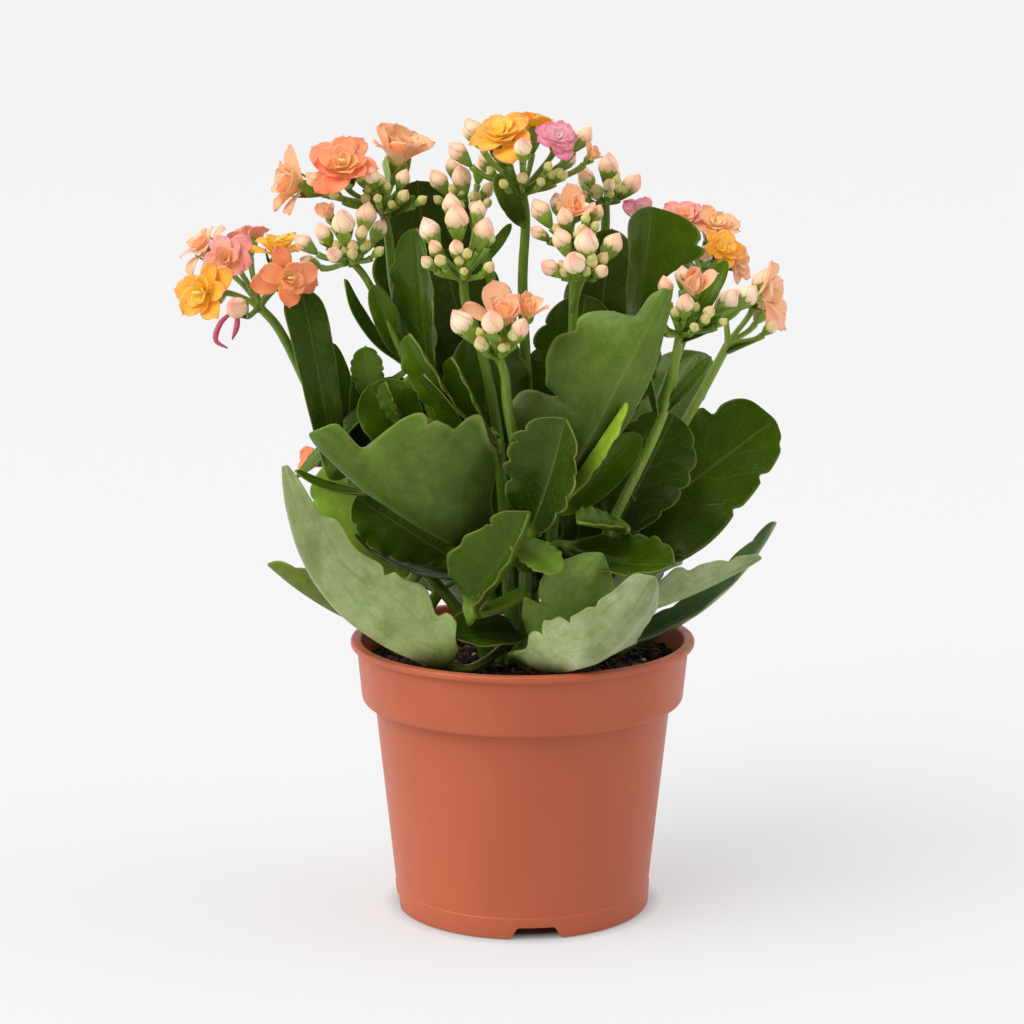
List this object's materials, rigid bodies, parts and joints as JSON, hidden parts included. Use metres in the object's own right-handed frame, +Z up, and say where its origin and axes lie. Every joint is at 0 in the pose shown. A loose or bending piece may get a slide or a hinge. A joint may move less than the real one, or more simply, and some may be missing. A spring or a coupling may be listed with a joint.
{
  "type": "potted kalanchoe",
  "caption": "Flowering succulent in a round tapered nursery pot: thick lobed leaves, upright stems with heads of buds and double flowers, standing on the pot's foot ring.",
  "frame": {"origin": "on the ground under the middle of the whole plant's bounding box", "axes": "+Z up along the pot's axis, -Y towards the front of the plant, +X to its right as seen from the front"},
  "size_m": [0.2118, 0.1374, 0.2798],
  "materials": {
    "terracotta_plastic": "terracotta-coloured polypropylene, satin, injection moulded",
    "peat_soil": "moist dark peat with pale fibres and crumbs",
    "stem_green": "smooth succulent stem, light green, with green bud tubes and peach bud tips",
    "petal_orange": "thin double petals, orange, soft velvet",
    "petal_pink": "thin double petals, pink, soft velvet",
    "petal_coral": "thin double petals, coral, soft velvet",
    "petal_yellow": "thin double petals, yellow, soft velvet",
    "leaf_green": "thick succulent leaf, deep green, waxy gloss",
    "leaf_pale_green": "pale grey-green underside of a succulent leaf, matt wax bloom"
  },
  "bodies": {
    "root": {"pot": "terracotta_plastic", "soil": "peat_soil", "flower_stem_far_left": "stem_green", "flower_stem_upper_left": "stem_green", "flower_stem_middle_left": "stem_green", "flower_stem_back_left": "stem_green", "flower_stem_top": "stem_green", "flower_stem_back_right": "stem_green", "flower_stem_centre": "stem_green", "flower_stem_front": "stem_green", "flower_stem_right": "stem_green", "flower_stem_far_right": "stem_green", "flower_stem_right_back": "stem_green", "flower_left_front": "petal_orange", "flower_left_upper": "petal_pink", "flower_left_outer": "petal_coral", "flower_left_inner": "petal_coral", "flower_left_yellow": "petal_yellow", "flower_left_back": "petal_pink", "flower_upper_left": "petal_coral", "flower_upper_left_side": "petal_coral", "flower_upper_left_back": "petal_coral", "flower_top_orange": "petal_orange", "flower_top_back": "petal_orange", "flower_top_pink": "petal_pink", "flower_right_coral": "petal_coral", "flower_right_peach": "petal_orange", "flower_right_yellow": "petal_yellow", "flower_right_low": "petal_coral", "leaf_right_upper": "leaf_green", "leaf_centre": "leaf_green", "leaf_front_scoop": "leaf_green", "leaf_front_low_left": "leaf_pale_green", "leaf_front_low_centre": "leaf_pale_green", "leaf_right_level": "leaf_pale_green", "leaf_right_narrow": "leaf_green", "leaf_front_low_inner": "leaf_pale_green", "leaf_upper_right": "leaf_green", "leaf_left_strap": "leaf_green", "leaf_left_behind_strap": "leaf_green", "leaf_back_upper_left": "leaf_green", "leaf_upper_notched": "leaf_green", "leaf_upper_inner": "leaf_green", "leaf_young_left": "leaf_green", "leaf_young_right": "leaf_green", "leaf_inner_right": "leaf_green", "leaf_lime": "leaf_green", "leaf_centre_small": "leaf_green", "leaf_glossy_front": "leaf_green", "leaf_dark_left": "leaf_green", "leaf_bright_left": "leaf_green", "leaf_shiny_left": "leaf_green", "leaf_left_small": "leaf_green", "leaf_edge_on": "leaf_green", "leaf_behind_centre": "leaf_green", "leaf_back_left": "leaf_green", "leaf_back_low_left": "leaf_green", "leaf_back_middle": "leaf_green", "leaf_back_low_right": "leaf_green", "leaf_back_right": "leaf_green"}
  },
  "joints": []
}
